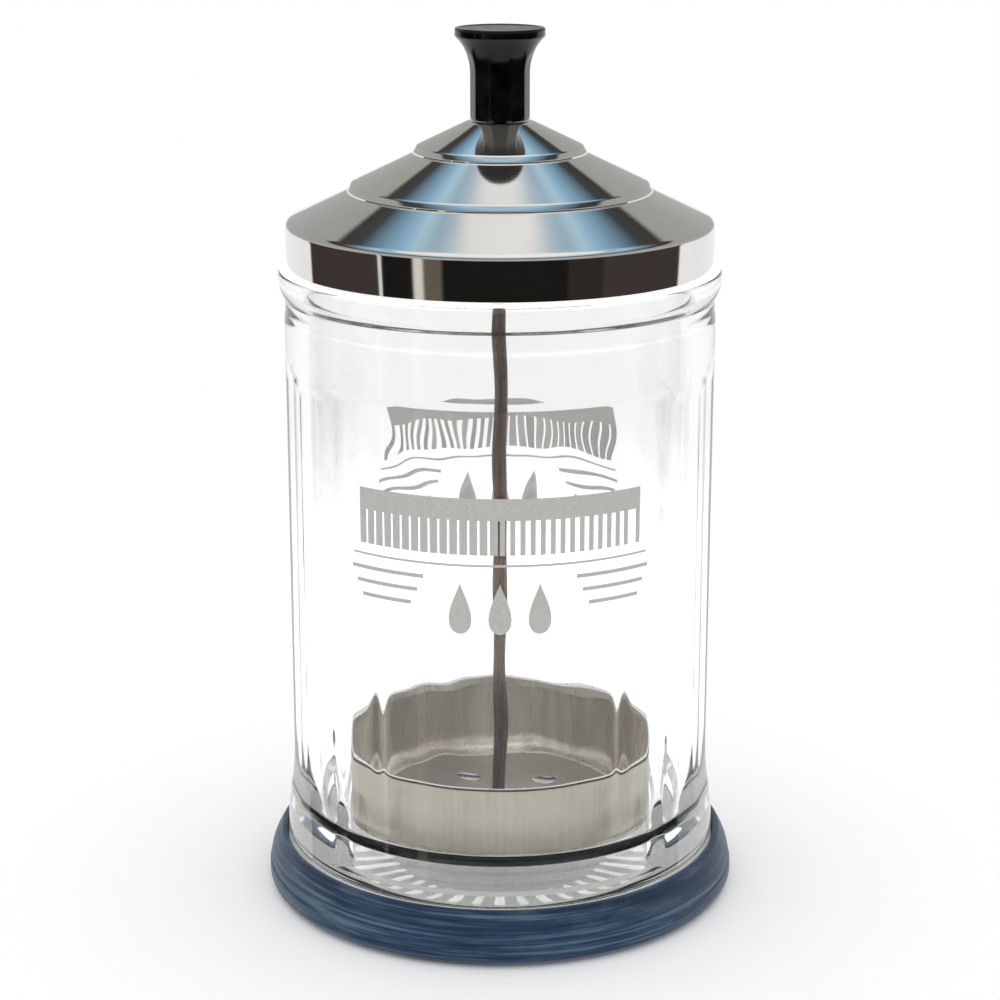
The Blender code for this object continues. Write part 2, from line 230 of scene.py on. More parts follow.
class Look:
    """A Principled material that is built up from procedural textures."""

    def __init__(self, name, colour, roughness, metallic=0.0):
        self.material = bpy.data.materials.new(name)
        self.material.use_nodes = True
        self.tree = self.material.node_tree
        self.shader = self.tree.nodes["Principled BSDF"]
        self.shader.inputs["Base Color"].default_value = (*colour, 1.0)
        self.shader.inputs["Roughness"].default_value = roughness
        self.shader.inputs["Metallic"].default_value = metallic
        self.place = self.tree.nodes.new("ShaderNodeTexCoord").outputs["Object"]
        self.height = None

    def set(self, socket, value):
        self.shader.inputs[socket].default_value = value

    def stretched(self, scale):
        mapping = self.tree.nodes.new("ShaderNodeMapping")
        mapping.inputs["Scale"].default_value = scale
        self.tree.links.new(self.place, mapping.inputs["Vector"])
        return mapping.outputs["Vector"]

    def noise(self, scale, detail=3.0, rough=0.5):
        """Noise with a different scale, per metre, along each axis."""
        texture = self.tree.nodes.new("ShaderNodeTexNoise")
        texture.inputs["Scale"].default_value = 1.0
        texture.inputs["Detail"].default_value = detail
        texture.inputs["Roughness"].default_value = rough
        self.tree.links.new(self.stretched(scale), texture.inputs["Vector"])
        return texture.outputs["Fac"]

    def ramp(self, source, stops):
        """Colours by the source's value, through (value, colour) stops."""
        node = self.tree.nodes.new("ShaderNodeValToRGB")
        elements = node.color_ramp.elements
        while len(elements) < len(stops):
            elements.new(0.5)
        for element, (position, colour) in zip(elements, stops):
            element.position = position
            element.color = (*colour, 1.0)
        self.tree.links.new(source, node.inputs["Fac"])
        return node.outputs["Color"]

    def between(self, source, low, high):
        """Noise, which lies mostly between 0.3 and 0.7, spread from low to high."""
        node = self.tree.nodes.new("ShaderNodeMapRange")
        node.inputs["From Min"].default_value = 0.3
        node.inputs["From Max"].default_value = 0.7
        node.inputs["To Min"].default_value = low
        node.inputs["To Max"].default_value = high
        self.tree.links.new(source, node.inputs["Value"])
        return node.outputs["Result"]

    def mixed(self, first, second, share):
        node = self.tree.nodes.new("ShaderNodeMix")
        node.data_type = "RGBA"
        node.inputs["Factor"].default_value = share
        self.tree.links.new(first, node.inputs[6])
        self.tree.links.new(second, node.inputs[7])
        return node.outputs[2]

    def colour(self, source):
        self.tree.links.new(source, self.shader.inputs["Base Color"])

    def roughness(self, source):
        self.tree.links.new(source, self.shader.inputs["Roughness"])

    def bump(self, source, distance, strength):
        """Adds relief of that depth on top of the relief added before."""
        node = self.tree.nodes.new("ShaderNodeBump")
        node.inputs["Distance"].default_value = distance
        node.inputs["Strength"].default_value = strength
        self.tree.links.new(source, node.inputs["Height"])
        if self.height is not None:
            self.tree.links.new(self.height, node.inputs["Normal"])
        self.height = node.outputs["Normal"]
        self.tree.links.new(self.height, self.shader.inputs["Normal"])


def glass_look():
    look = Look("pressed_glass", (0.985, 0.992, 0.99), 0.0)
    look.set("Transmission Weight", 1.0)
    look.set("IOR", 1.5)
    look.roughness(look.between(look.noise((60, 60, 60), 4.0), 0.0, 0.012))
    look.bump(look.noise((45, 45, 22), 2.0), 0.00012, 0.5)
    return look.material


def frost_look(name, glow):
    """Glass ground dull. glow is an emission strength: a painted glow that stands in for the light
    that the thick glass gathers there.
    """
    look = Look(name, (0.9, 0.91, 0.9), 0.5)
    grains = look.noise((1500, 1500, 1500), 3.0, 0.6)
    look.colour(look.ramp(grains, [(0.3, (0.8, 0.81, 0.8)), (0.7, (0.95, 0.96, 0.95))]))
    look.roughness(look.between(grains, 0.4, 0.65))
    look.bump(grains, 0.00003, 0.5)
    look.set("Emission Color", (0.9, 0.91, 0.9, 1.0))
    look.set("Emission Strength", glow)
    return look.material


def rubber_look():
    look = Look("blue_rubber", (0.01, 0.05, 0.15), 0.5)
    look.set("Specular IOR Level", 0.25)
    look.set("Sheen Weight", 0.22)
    streaks = look.noise((18, 18, 900), 7.0, 0.66)
    patches = look.noise((45, 45, 240), 5.0, 0.65)
    streak_colour = look.ramp(
        streaks,
        [(0.4, (0.001, 0.008, 0.026)), (0.5, (0.008, 0.036, 0.09)), (0.61, (0.10, 0.16, 0.23))],
    )
    patch_colour = look.ramp(
        patches,
        [(0.36, (0.003, 0.016, 0.045)), (0.52, (0.010, 0.04, 0.095)), (0.66, (0.075, 0.12, 0.165))],
    )
    look.colour(look.mixed(streak_colour, patch_colour, 0.4))
    look.roughness(look.between(streaks, 0.45, 0.7))
    look.bump(streaks, 0.00022, 0.7)
    look.bump(look.noise((2500, 2500, 2500), 2.0), 0.00003, 0.4)
    return look.material


def socket_look():
    """The rubber's inside, painted near black where it holds the glass: painted shade."""
    look = Look("rubber_inside_painted_shade", (0.003, 0.005, 0.009), 0.5)
    mottle = look.noise((120, 120, 120), 4.0, 0.6)
    look.colour(look.ramp(mottle, [(0.3, (0.002, 0.004, 0.007)), (0.7, (0.006, 0.010, 0.016))]))
    look.roughness(look.between(mottle, 0.4, 0.6))
    look.bump(mottle, 0.00005, 0.4)
    return look.material


def lid_look():
    look = Look("mirror_steel", (0.86, 0.85, 0.83), 0.05, metallic=1.0)
    smears = look.noise((30, 30, 30), 5.0, 0.6)
    look.roughness(look.between(smears, 0.03, 0.075))
    look.colour(look.ramp(smears, [(0.3, (0.8, 0.79, 0.77)), (0.7, (0.9, 0.89, 0.87))]))
    look.bump(look.noise((14, 14, 14), 2.0), 0.0002, 0.25)
    look.bump(look.noise((160, 160, 2600), 2.0), 0.000004, 0.5)
    return look.material


def plastic_look():
    look = Look("black_plastic", (0.008, 0.008, 0.008), 0.16)
    look.set("IOR", 1.5)
    look.set("Specular IOR Level", 0.38)
    marks = look.noise((260, 260, 260), 5.0, 0.6)
    look.colour(look.ramp(marks, [(0.3, (0.0005, 0.0005, 0.0005)), (0.7, (0.002, 0.002, 0.002))]))
    look.roughness(look.between(marks, 0.1, 0.26))
    look.bump(look.noise((900, 900, 900), 3.0), 0.00002, 0.5)
    return look.material


def brushed_look(name, dark, light, grain, low, high):
    """Brushed steel. grain is the noise scale along each axis."""
    look = Look(name, light, 0.3, metallic=1.0)
    lines = look.noise(grain, 4.0, 0.6)
    clouds = look.noise((50, 50, 50), 4.0, 0.55)
    line_colour = look.ramp(lines, [(0.3, dark), (0.7, light)])
    cloud_colour = look.ramp(clouds, [(0.3, dark), (0.7, light)])
    look.colour(look.mixed(line_colour, cloud_colour, 0.35))
    look.roughness(look.between(lines, low, high))
    look.bump(lines, 0.00003, 0.55)
    return look.material


def tray_look(hem_foot):
    """Brushed steel with broad upright bands of painted reflection, and a painted highlight on the
    hem above hem_foot.
    """
    look = Look("cup_inside", (0.6, 0.57, 0.53), 0.3, metallic=0.86)
    grain = look.noise((600, 600, 12), 3.0, 0.5)
    # Broad upright bands of lighter and darker steel: painted reflections.
    bands = look.noise((45, 45, 3), 3.0, 0.55)
    clouds = look.noise((60, 60, 60), 3.0, 0.5)
    grain_colour = look.ramp(grain, [(0.3, (0.80, 0.76, 0.69)), (0.7, (0.92, 0.88, 0.81))])
    band_colour = look.ramp(bands, [(0.44, (0.46, 0.40, 0.33)), (0.56, (1.0, 0.95, 0.86))])
    cloud_colour = look.ramp(clouds, [(0.3, (0.80, 0.76, 0.69)), (0.7, (0.93, 0.89, 0.82))])
    plain = look.mixed(look.mixed(grain_colour, cloud_colour, 0.35), band_colour, 0.75)
    # A painted highlight: the hem's inside turns brighter above hem_foot.
    height = look.tree.nodes.new("ShaderNodeSeparateXYZ")
    look.tree.links.new(look.place, height.inputs[0])
    hem = look.tree.nodes.new("ShaderNodeMapRange")
    hem.inputs["From Min"].default_value = hem_foot - 0.3 * MM
    hem.inputs["From Max"].default_value = hem_foot
    look.tree.links.new(height.outputs["Z"], hem.inputs["Value"])
    bright = look.ramp(grain, [(0.3, (0.84, 0.83, 0.8)), (0.7, (0.96, 0.95, 0.92))])
    painted_hem_highlight = look.mixed(plain, bright, 0.0)
    look.tree.links.new(hem.outputs["Result"], painted_hem_highlight.node.inputs["Factor"])
    look.colour(painted_hem_highlight)
    look.roughness(look.between(grain, 0.24, 0.34))
    look.bump(grain, 0.00001, 0.25)
    return look.material


def rim_look():
    """The tray's top edge and the ring at its floor's corner, in near-white steel: a painted
    highlight.
    """
    look = Look("tray_edge_painted_glint", (0.9, 0.89, 0.86), 0.3, metallic=0.35)
    scratches = look.noise((700, 700, 700), 3.0)
    look.colour(look.ramp(scratches, [(0.3, (0.84, 0.83, 0.8)), (0.7, (0.96, 0.95, 0.92))]))
    look.roughness(look.between(scratches, 0.25, 0.4))
    look.bump(scratches, 0.00001, 0.3)
    return look.material


def brass_look():
    look = Look("turned_brass", (0.75, 0.56, 0.28), 0.3, metallic=1.0)
    rings = look.noise((120, 120, 6000), 3.0)
    look.colour(look.ramp(rings, [(0.3, (0.62, 0.43, 0.19)), (0.7, (0.82, 0.63, 0.33))]))
    look.roughness(look.between(rings, 0.2, 0.42))
    look.bump(rings, 0.00002, 0.5)
    return look.material


def print_look(name, dark, light, let_through):
    """Fired ink. let_through is the share of light that passes it."""
    look = Look(name, light, 0.6)
    look.set("Transmission Weight", let_through)
    grains = look.noise((2200, 2200, 2200), 3.0, 0.7)
    look.colour(look.ramp(grains, [(0.3, dark), (0.7, light)]))
    look.roughness(look.between(grains, 0.5, 0.8))
    look.bump(grains, 0.00002, 0.5)
    return look.material


# ---------------------------------------------------------------- glass jar

def panel_share(angle_from_front):
    """1 inside the front or back panel, easing to 0 at its edges."""
    nearest = np.minimum(angle_from_front, 180.0 - angle_from_front)
    return 1.0 - smooth(nearest, PANEL_HALF_ANGLE - PANEL_SIDE, PANEL_HALF_ANGLE)


def glass_relief(radius, z, around):
    """How far the outer wall is pressed in. Panels and flutes run down into the flared foot."""
    from_front = np.degrees(np.abs(np.arctan2(np.cos(around), -np.sin(around))))
    panel = panel_share(from_front)
    panel *= 1.0 - smooth(z, PANEL_TOP - PANEL_EDGE, PANEL_TOP)

    flute_width = (180.0 - 2.0 * PANEL_HALF_ANGLE) / FLUTES
    across = (from_front - PANEL_HALF_ANGLE) / flute_width
    beside = 2.0 * (across - np.floor(across)) - 1.0
    beside = np.where((across >= 0.0) & (across <= FLUTES), beside, 1.0)
    scoop = 1.0 - beside**2
    end_round = FLUTE_ROUND * (1.0 - np.sqrt(np.clip(1.0 - beside**2, 0.0, 1.0)))
    flute = scoop * (1.0 - smooth(z, FLUTE_TOP - FLUTE_EDGE - end_round, FLUTE_TOP - end_round))
    flute *= smooth(z, FLUTE_FOOT + end_round, FLUTE_FOOT + FLUTE_FADE + end_round)
    flare = np.maximum(radius - BODY_RADIUS, 0.0)
    return (PANEL_DEPTH + flare) * panel + (FLUTE_DEPTH + FLUTE_FLARE * flare) * flute


def inner_ripple(z, around):
    """Unevenness of the pressed inner wall, with two low ribs beside the front's middle.

    The waves are strongest at the front and back, and the finest die out at their middles.
    """
    degrees = np.degrees(around)
    waves = np.sin(around * 11.0 + 180.0 * z) * 0.3 + np.sin(around * 17.0 + 1.3 - 230.0 * z) * 0.22
    from_middle = np.abs(np.mod(degrees, 180.0) - 90.0)
    waves += np.sin(around * 23.0 + 500.0 * z) * 0.17 * smooth(from_middle, 3.0, 14.0)
    waves += np.sin(z * 150.0 + 2.0 * np.sin(around * 3.0)) * 0.3
    ribs = np.zeros_like(z)
    for side in (-1.0, 1.0):
        offset = degrees - 270.0 - side * INNER_RIB_ANGLE
        ribs += np.exp(-(offset / 1.8) ** 2) * (1.0 - smooth(z, *INNER_RIB_TOP))
    facing = smooth(np.abs(np.sin(around)), 0.35, 0.8)
    return RIPPLE * waves * facing - INNER_RIB * ribs


def base_marks(radius, around):
    """Relief moulded into the underside: a ring of plain bars round a stippled disc."""
    in_ring = smooth(radius, MARK_RING[0], MARK_RING[0] + MARK_EDGE)
    in_ring *= 1.0 - smooth(radius, MARK_RING[1] - MARK_EDGE, MARK_RING[1])
    bars = smooth(np.cos(around * MARK_COUNT), 0.1, 0.55)
    circle = np.exp(-(((radius - MARK_CIRCLE) / (0.5 * MM)) ** 2))
    circle += np.exp(-(((radius - STIPPLE_RADIUS - 0.8 * MM) / (0.35 * MM)) ** 2))
    ring = np.round(radius / STIPPLE_PITCH)
    dots_round = np.maximum(1.0, np.round(2.0 * pi * ring))
    dots = np.cos(2.0 * pi * radius / STIPPLE_PITCH) * np.cos(around * dots_round)
    dots = np.clip(dots, 0.0, 1.0) * (1.0 - smooth(radius, STIPPLE_RADIUS - MM, STIPPLE_RADIUS))
    dots *= smooth(radius, 2.0 * MM, 3.0 * MM)
    return MARK_HEIGHT * (in_ring * bars + 0.8 * np.clip(circle, 0.0, 1.0) + 0.85 * dots)


def finer_at_foot(points):
    """Closer rows where the panels and flutes end in the flared foot of the outer wall."""
    line = [points[0]]
    for start, end in zip(points, points[1:]):
        at_foot = start[0] > 48.0 * MM and FINE_ROWS[0] < start[1] < FINE_ROWS[1]
        line += resampled([start, end], GLASS_ROW / 3.0 if at_foot else GLASS_ROW)[1:]
    return line


def build_glass(look, frost, ground):
    """The jar. frost is on the marks' crests and the lid's seat, ground beneath and in the ring."""
    low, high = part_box("glass_jar")
    ring_bore = 52.6 * MM
    floor = 7.0 * MM
    fillet = 8.0 * MM
    bottom = low.z
    punt = bottom + 0.8 * MM
    shoulder = 153.4 * MM
    inside = [
        (0.0, floor, 0.0),
        (43.5 * MM, floor, fillet),
        (43.5 * MM, 20.3 * MM, 0.25 * MM),
        (45.4 * MM, 23.7 * MM, 0.25 * MM),
        (45.4 * MM, high.z, 1.5 * MM),
    ]
    outside = [
        (48.7 * MM, high.z, 1.5 * MM),
        (48.7 * MM, shoulder, 0.6 * MM),
        (51.7 * MM, shoulder, 0.9 * MM),
        (52.15 * MM, 151.6 * MM, 1.6 * MM),
        (51.6 * MM, 148.2 * MM, 2.0 * MM),
        (50.45 * MM, 146.4 * MM, 0.6 * MM),
        (50.5 * MM, 143.2 * MM, 0.9 * MM),
        (BODY_RADIUS, 141.8 * MM, 0.9 * MM),
        (BODY_RADIUS, 32.0 * MM, 6.0 * MM),
        (52.2 * MM, 21.5 * MM, 6.0 * MM),
        (ring_bore, 14.0 * MM, 4.0 * MM),
        (ring_bore, bottom + 1.0 * MM, 2.5 * MM),
        (50.0 * MM, bottom, 1.2 * MM),
        (45.5 * MM, bottom, 0.6 * MM),
        (44.5 * MM, punt, 0.6 * MM),
        (0.0, punt, 0.0),
    ]
    points = resampled(rounded(inside + outside, steps=8), GLASS_ROW)
    points = finer_at_foot(points)
    tops = [index for index, point in enumerate(points) if point[1] > high.z - 0.2 * MM]
    rim = tops[len(tops) // 2]
    start_of_base = min(
        index for index, point in enumerate(points)
        if index > rim and point[1] < bottom + 1.2 * MM and point[0] < 44.2 * MM
    )
    row = np.arange(len(points))[:, None]

    def shape(radius, z, around):
        wall = (row > rim) & (z > RELIEF_FOOT) & (z < RELIEF_TOP)
        inner = (row < rim) & (z > RIPPLE_FOOT[0])
        underside = row >= start_of_base
        fade = smooth(z, *RIPPLE_FOOT)
        fade *= 1.0 - smooth(z, high.z - RIPPLE_BELOW_RIM[0], high.z - RIPPLE_BELOW_RIM[1])
        radius = np.where(wall, radius - glass_relief(radius, z, around), radius)
        radius = np.where(inner, radius + inner_ripple(z, around) * fade, radius)
        z = np.where(underside, z - base_marks(radius, around), z)
        return radius, z

    glass = turn("glass_wall", points, GLASS_STEPS, shape=shape)
    place(glass, "jar", "glass_jar", look)
    glass.data.materials.append(frost)
    glass.data.materials.append(ground)
    for face in glass.data.polygons:
        middle = face.center
        out = middle.xy.length
        crest = middle.z < punt - 0.5 * MARK_HEIGHT and out < GROUND_RADIUS
        seat = middle.z > shoulder - 0.4 * MM and out > 48.9 * MM
        beneath = middle.z < 5.0 * MM and out < GROUND_RADIUS
        in_ring = 3.5 * MM < middle.z < 13.0 * MM and out > 51.5 * MM
        if crest or seat:
            face.material_index = 1
        elif beneath or in_ring:
            face.material_index = 2
    return glass


# ---------------------------------------------------------------- printed pattern

def wrapped(radius, facing):
    """Maps (arc length, z, height off the glass) onto the jar, on its front (-1) or back (1)."""
    def onto(s, z, off):
        angle = s / radius
        out = radius + off
        return (-facing * out * sin(angle), facing * out * cos(angle), z)
    return onto


def strip(shape, onto, left, right, foot, top):
    """A bar of print, in columns narrow enough to follow the curved glass."""
    columns = max(1, int((right - left) / (2.0 * MM)))
    lower = []
    upper = []
    for column in range(columns + 1):
        s = left + (right - left) * column / columns
        lower.append(shape.verts.new(onto(s, foot, PRINT_GAP)))
        upper.append(shape.verts.new(onto(s, top, PRINT_GAP)))
    for column in range(columns):
        shape.faces.new((lower[column], lower[column + 1], upper[column + 1], upper[column]))


def droplet(shape, onto, centre, z, size):
    """A teardrop outline, filled: round below and drawn to a point above."""
    corners = []
    count = 36
    for index in range(count):
        t = 2.0 * pi * index / count
        s = size * 0.62 * sin(t) * sin(t / 2.0) ** 1.5
        corners.append(shape.verts.new(onto(centre + s, z + size * cos(t), PRINT_GAP)))
    shape.faces.new(corners)


def build_print(name, facing, look):
    """A plain comb over a rule, with three drops and short bars: it carries no words."""
    radius = BODY_RADIUS - PANEL_DEPTH
    onto = wrapped(radius, facing)
    shape = bmesh.new()
    half = COMB_WIDTH / 2.0
    spine_foot = COMB_TOP - COMB_BACK
    tooth_foot = spine_foot - TOOTH_LENGTH
    strip(shape, onto, -half, half, spine_foot, COMB_TOP)
    pitch = COMB_WIDTH / COMB_TEETH
    for tooth in range(COMB_TEETH):
        left = -half + pitch * tooth
        share = 0.78 if tooth < COMB_TEETH / 2 else 0.5
        if tooth == COMB_TEETH - 1:
            left = half - pitch * share
        strip(shape, onto, left, left + pitch * share, tooth_foot, spine_foot - 0.02 * MM)
    strip(shape, onto, -half - 2.0 * MM, half + 2.0 * MM, RULE_HEIGHT, RULE_HEIGHT + 0.5 * MM)
    for index in (-1, 0, 1):
        droplet(shape, onto, index * DROP_PITCH, DROP_HEIGHT, DROP_SIZE)
    for side in (-1.0, 1.0):
        for line in range(3):
            centre = side * BAR_PLACE
            length = (19.0 - 3.0 * line) * MM
            foot = RULE_HEIGHT - (3.4 + 3.2 * line) * MM
            strip(shape, onto, centre - length / 2.0, centre + length / 2.0, foot, foot + 0.9 * MM)
    bmesh.ops.recalc_face_normals(shape, faces=shape.faces)
    mesh = bpy.data.meshes.new(name)
    shape.to_mesh(mesh)
    shape.free()
    piece = bpy.data.objects.new(name, mesh)
    bpy.context.scene.collection.objects.link(piece)
    thick = piece.modifiers.new("thickness", "SOLIDIFY")
    thick.thickness = PRINT_THICKNESS
    thick.offset = 1.0
    return place(piece, "jar", None, look)


# ---------------------------------------------------------------- base ring

def build_ring(look):
    low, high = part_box("base_ring")
    widest = high.x
    corners = [
        (53.0 * MM, high.z, 0.3 * MM),
        (54.35 * MM, high.z, 0.7 * MM),
        (56.3 * MM, 9.4 * MM, 2.0 * MM),
        (57.0 * MM, 6.9 * MM, 1.2 * MM),
        (57.05 * MM, 5.9 * MM, 0.25 * MM),
        (57.0 * MM, 5.6 * MM, 0.15 * MM),
        (widest, 5.0 * MM, 0.5 * MM),
        (widest, 1.6 * MM, 1.2 * MM),
        (55.2 * MM, low.z, 1.3 * MM),
        (44.0 * MM, low.z, 0.4 * MM),
        (44.0 * MM, 2.0 * MM, 0.4 * MM),
        (52.9 * MM, 2.0 * MM, 0.3 * MM),
    ]
    points = resampled(rounded(corners, closed=True), 1.2 * MM)

    def shape(radius, z, around):
        wave = np.sin(around * 5.0 + 0.4) * 0.05 + np.sin(around * 9.0 + 2.0 + z * 400.0) * 0.03
        grooves = np.sin(z * 5200.0 + 0.8 * np.sin(around * 2.0)) * 0.03
        outside = (radius > 53.6 * MM) & (z > 0.8 * MM)
        return np.where(outside, radius + (wave + grooves - 0.06) * MM, radius), z

    ring = turn("ring_boot", points, FINE, closed=True, shape=shape)
    place(ring, "jar", "base_ring", look)
    ring.data.materials.append(socket_look())
    for face in ring.data.polygons:
        # The ring's inside faces, where it holds the glass, take the near-black rubber: painted
        # shade.
        face.material_index = 1 if face.center.xy.length < 53.05 * MM and face.center.z > MM else 0
    return ring


# ---------------------------------------------------------------- lid, rod and fasteners

def lid_profile():
    low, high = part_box("lid_shell")
    sheet = 0.8 * MM
    slope = 0.476
    step = 1.4 * MM
    lead = 0.5 * MM                     # the bevel of a step starts this far inside its edge
    top = high.z
    corners = [(7.4 * MM, top, 1.0 * MM)]
    for radius in (19.9 * MM, 35.25 * MM):
        start_radius, start_z, _ = corners[-1]
        foot = start_z - slope * (radius - start_radius)
        corners.append((radius - lead, foot + slope * lead, 0.3 * MM))
        corners.append((radius + 0.3 * MM, foot - 0.75 * step, 0.15 * MM))
        corners.append((radius + 0.3 * MM, foot - step - 0.3 * MM * slope, 0.2 * MM))
    start_radius, start_z, _ = corners[-1]
    brim = start_z - slope * (49.5 * MM - start_radius)
    corners.append((49.5 * MM, brim, 0.5 * MM))
    corners.append((50.2 * MM, brim - 0.8 * MM, 0.6 * MM))
    drop = sheet * (sqrt(1.0 + slope**2) - slope)
    inside = [(r - sheet, z - drop, rounding) for r, z, rounding in corners[1:]]
    outer = [(ROD_HOLE, top, 0.15 * MM)] + corners + [(50.0 * MM, low.z, 0.25 * MM)]
    inner = [(50.0 * MM - sheet, low.z, 0.25 * MM)] + inside[::-1]
    inner += [(7.2 * MM, top - sheet, 1.0 * MM), (ROD_HOLE, top - sheet, 0.15 * MM)]
    return outer + inner


def build_lid(look):
    lid = turn("lid_cover", rounded(lid_profile(), closed=True, steps=8), FINE, closed=True)
    return place(lid, "lid_and_tray", "lid_shell", look)


def thread(radius, z, around, first, last):
    """Cuts a V thread into the radius between two heights."""
    turns = z / THREAD_PITCH - around / (2.0 * pi)
    groove = np.abs(2.0 * (turns - np.floor(turns)) - 1.0)
    inside = smooth(z, first, first + THREAD_PITCH) * (1.0 - smooth(z, last - THREAD_PITCH, last))
    return radius - THREAD_DEPTH * groove * inside


def build_rod(look):
    low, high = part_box("lift_rod")
    radius = high.x
    fine = THREAD_PITCH / 8.0
    foot_thread = low.z + 7.5 * MM
    head_thread = high.z - 19.0 * MM
    points = [(0.0, low.z), (radius - 0.4 * MM, low.z)]
    points += resampled([(radius, low.z + 0.4 * MM), (radius, foot_thread)], fine)
    points += resampled([(radius, foot_thread + 0.5 * MM), (radius, head_thread)], 8.0 * MM)
    points += resampled([(radius, head_thread), (radius, high.z - 0.4 * MM)], fine)[1:]
    points += [(radius - 0.4 * MM, high.z), (0.0, high.z)]

    def shape(r, z, around):
        lower = thread(r, z, around, low.z + 0.2 * MM, foot_thread)
        upper = thread(r, z, around, head_thread, high.z - 0.2 * MM)
        turned = r > radius - 0.01 * MM
        return np.where(turned, np.minimum(lower, upper), r), z

    rod = turn("rod_bar", points, 48, shape=shape)
    return place(rod, "lid_and_tray", "lift_rod", look)


def build_washer(node, look):
    low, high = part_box(node)
    rim = 0.15 * MM
    corners = [
        (ROD_HOLE, high.z, rim),
        (high.x, high.z, rim),
        (high.x, low.z, rim),
        (ROD_HOLE, low.z, rim),
    ]
    washer = turn(node + "_disc", rounded(corners, closed=True, steps=4), SMALL, closed=True)
    return place(washer, "lid_and_tray", node, look)


def build_nut(node, look):
    """A hexagon nut with conical chamfers and a threaded bore."""
    low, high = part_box(node)
    flat = high.y
    face = flat * 1.02                  # radius of the flat round face inside the chamfer
    bore = ROD_HOLE
    outer = [(face, low.z)]
    outer += resampled([(face, low.z), (face, high.z)], 0.12 * MM)[1:]
    inner = resampled([(bore, high.z), (bore, low.z)], THREAD_PITCH / 8.0)
    points = outer + inner

    def shape(radius, z, around):
        nearest = np.mod(around + pi / 2.0 + pi / 6.0, pi / 3.0) - pi / 6.0
        hexagon = flat / np.cos(nearest)
        from_face = np.minimum(z - low.z, high.z - z)
        cone = face + from_face * tan(radians(62.0))
        outside = radius > (bore + face) / 2.0
        groove = THREAD_DEPTH * 0.4
        turns = z / THREAD_PITCH - around / (2.0 * pi)
        depth = groove * np.abs(2.0 * (turns - np.floor(turns)) - 1.0)
        ends = smooth(from_face, 0.0, 0.4 * MM)
        return np.where(outside, np.minimum(hexagon, cone), radius + depth * ends), z

    nut = turn(node + "_hex", points, SMALL, closed=True, shape=shape)
    return place(nut, "lid_and_tray", node, look)


# ---------------------------------------------------------------- tray

def build_tray():
    """A drawn cup with drain holes, of one steel in lit and shaded copies: painted shade on its
    outer wall, the outer part of its hem's top and its floor, and a painted highlight on its top
    edge and the ring at the floor's corner.
    """
    low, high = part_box("tray")
    sheet = 0.7 * MM
    hem = high.x
    wall = hem - 0.3 * MM
    hem_inside = hem - 1.5 * MM
    hem_foot = high.z - 2.1 * MM
    corner = 5.5 * MM
    corners = [
        (hem_inside, high.z, 0.5 * MM),
        (hem, high.z, 0.5 * MM),
        (hem, hem_foot, 1.0 * MM),
        (wall, hem_foot - 3.0 * MM, 1.5 * MM),
        (wall, low.z, corner),
        (ROD_HOLE, low.z, 0.1 * MM),
        (ROD_HOLE, low.z + sheet, 0.1 * MM),
        (wall - sheet, low.z + sheet, corner - sheet),
        (wall - sheet, hem_foot - 0.3 * MM, 0.2 * MM),
        (hem_inside, hem_foot, 0.3 * MM),
    ]
    tray = turn("tray_cup", rounded(corners, closed=True, steps=10), FINE, closed=True)
    pegs = build_drain_pegs(low.z + sheet / 2.0)
    cut = tray.modifiers.new("drains", "BOOLEAN")
    cut.operation = "DIFFERENCE"
    cut.solver = "EXACT"
    cut.object = pegs
    graph = bpy.context.evaluated_depsgraph_get()
    drained = bpy.data.meshes.new_from_object(tray.evaluated_get(graph))
    tray.modifiers.clear()
    tray.data = drained
    bpy.data.objects.remove(pegs)
    drained.set_sharp_from_angle(angle=radians(32.0))
    place(tray, "lid_and_tray", "tray", tray_look(hem_foot))
    # The outer wall's steel is a darker copy of the inside's: painted shade.
    shaded_wall_steel = brushed_look(
        "cup_outside_shaded", (0.38, 0.355, 0.30), (0.54, 0.505, 0.43), (1100, 1100, 14), 0.42, 0.5
    )
    # The outer part of the hem's top in near-black steel: a painted dark line of shade.
    shaded_edge_steel = brushed_look(
        "cup_edge_shaded", (0.03, 0.028, 0.026), (0.07, 0.065, 0.06), (900, 900, 900), 0.4, 0.5
    )
    # The floor's steel is a darker copy of the inside's: painted shade.
    shaded_floor_steel = brushed_look(
        "cup_floor_shaded", (0.42, 0.405, 0.37), (0.58, 0.565, 0.52), (220, 220, 220), 0.28, 0.4
    )
    drained.materials.append(shaded_wall_steel)
    drained.materials.append(shaded_edge_steel)
    drained.materials.append(rim_look())
    drained.materials.append(shaded_floor_steel)
    corner_start = wall - corner
    # Slots 1, 2 and 4 (outer wall, outer hem top, floor) are painted shade; slot 3 (top edge,
    # corner ring) is a painted highlight.
    for face in drained.polygons:
        middle = face.center
        out = middle.xy.length
        at_top = middle.z > high.z - 0.3 * MM
        if at_top and out > hem - 0.5 * MM:
            face.material_index = 2
        elif at_top or corner_start - 0.4 * MM < out < corner_start + 0.5 * MM:
            face.material_index = 3
        elif out > wall - 0.3 * sheet:
            face.material_index = 1
        elif out <= corner_start:
            face.material_index = 4
    return tray


def build_drain_pegs(middle):
    """Round cutters on a circle, for the drain holes."""
    shape = bmesh.new()
    for index in range(DRAIN_HOLES):
        angle = radians(DRAIN_FIRST_ANGLE) + 2.0 * pi * index / DRAIN_HOLES
        peg = bmesh.ops.create_cone(
            shape,
            cap_ends=True,
            segments=64,
            radius1=DRAIN_RADIUS,
            radius2=DRAIN_RADIUS,
            depth=3.0 * MM,
        )
        offset = (DRAIN_CIRCLE * cos(angle), DRAIN_CIRCLE * sin(angle), middle)
        bmesh.ops.translate(shape, verts=peg["verts"], vec=offset)
    mesh = bpy.data.meshes.new("drain_pegs")
    shape.to_mesh(mesh)
    shape.free()
    pegs = bpy.data.objects.new("drain_pegs", mesh)
    bpy.context.scene.collection.objects.link(pegs)
    return pegs


# ---------------------------------------------------------------- knob

